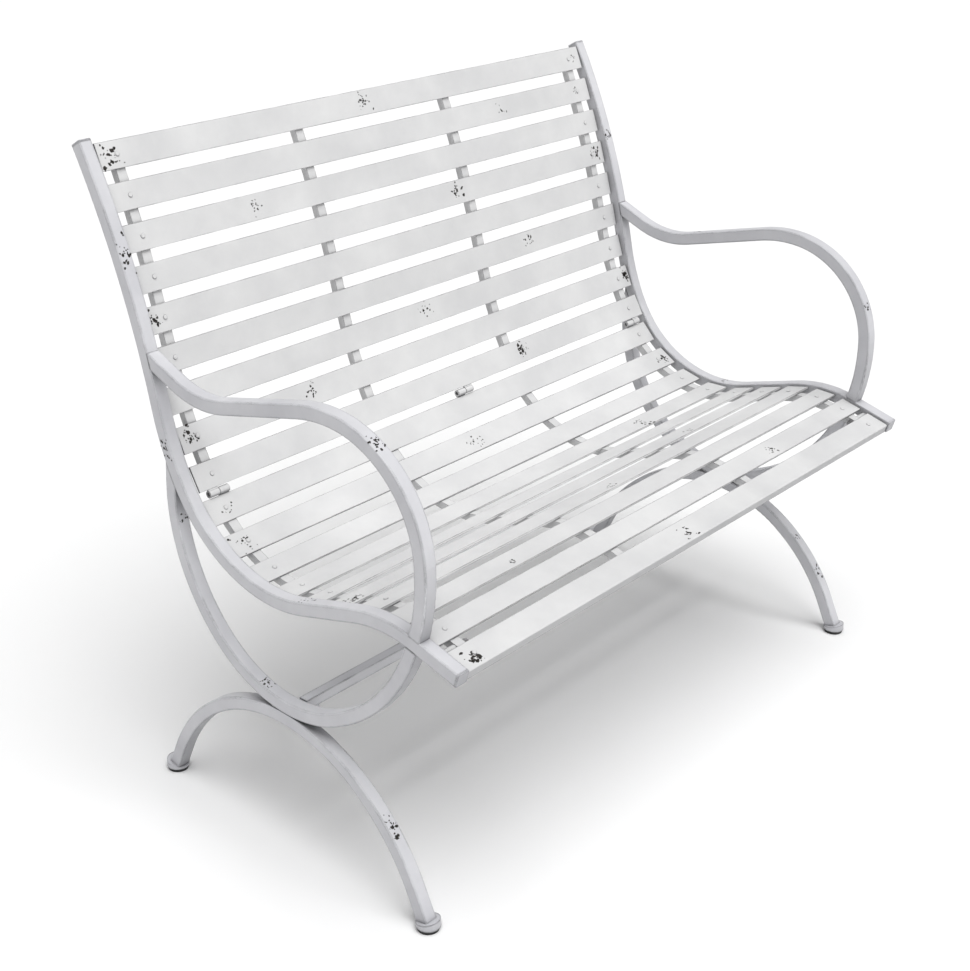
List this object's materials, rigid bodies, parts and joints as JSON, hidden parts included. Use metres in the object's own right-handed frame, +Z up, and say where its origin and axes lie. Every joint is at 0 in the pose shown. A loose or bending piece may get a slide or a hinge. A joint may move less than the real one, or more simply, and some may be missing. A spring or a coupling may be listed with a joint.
{
  "type": "garden bench",
  "caption": "White steel garden bench: curled tube arms, crescent legs, wavy slatted seat and tall slatted back held by bolted straps and folding hinges.",
  "frame": {"origin": "on the floor, under the middle of the bench", "axes": "+X along the seat to the right seen from the front, +Y to the back, +Z up"},
  "size_m": [1.075, 0.6975, 0.9572],
  "materials": {
    "frame_paint": "semi-gloss",
    "panel_paint": "semi-gloss",
    "zinc_steel": "satin",
    "rubber": "matte"
  },
  "bodies": {
    "root": {"arm_left": "frame_paint", "arm_right": "frame_paint", "back_rivets": "panel_paint", "back_slat_01": "panel_paint", "back_slat_02": "panel_paint", "back_slat_03": "panel_paint", "back_slat_04": "panel_paint", "back_slat_05": "panel_paint", "back_slat_06": "panel_paint", "back_slat_07": "panel_paint", "back_slat_08": "panel_paint", "back_slat_09": "panel_paint", "back_strap_1": "panel_paint", "back_strap_2": "panel_paint", "back_strap_3": "panel_paint", "back_strap_4": "panel_paint", "crown_welds_left": "frame_paint", "crown_welds_right": "frame_paint", "foot_cup_front_left": "frame_paint", "foot_cup_front_right": "frame_paint", "foot_cup_rear_left": "frame_paint", "foot_cup_rear_right": "frame_paint", "foot_glide_front_left": "rubber", "foot_glide_front_right": "rubber", "foot_glide_rear_left": "rubber", "foot_glide_rear_right": "rubber", "hinge_knuckles_back": "panel_paint", "hinge_knuckles_seat": "panel_paint", "hinge_pins": "zinc_steel", "leg_arch_left": "frame_paint", "leg_arch_right": "frame_paint", "loop_left": "frame_paint", "loop_right": "frame_paint", "panel_bolts": "zinc_steel", "panel_nuts": "zinc_steel", "panel_spacers": "panel_paint", "panel_washers": "zinc_steel", "rail_front_caps": "frame_paint", "rail_left": "frame_paint", "rail_right": "frame_paint", "rail_top_caps": "frame_paint", "seat_rivets": "panel_paint", "seat_slat_01": "panel_paint", "seat_slat_02": "panel_paint", "seat_slat_03": "panel_paint", "seat_slat_04": "panel_paint", "seat_slat_05": "panel_paint", "seat_slat_06": "panel_paint", "seat_slat_07": "panel_paint", "seat_slat_08": "panel_paint", "seat_slat_09": "panel_paint", "seat_slat_10": "panel_paint", "seat_strap_1": "panel_paint", "seat_strap_2": "panel_paint", "seat_strap_3": "panel_paint", "seat_strap_4": "panel_paint", "stretcher": "frame_paint", "stretcher_gussets": "frame_paint"}
  },
  "joints": []
}
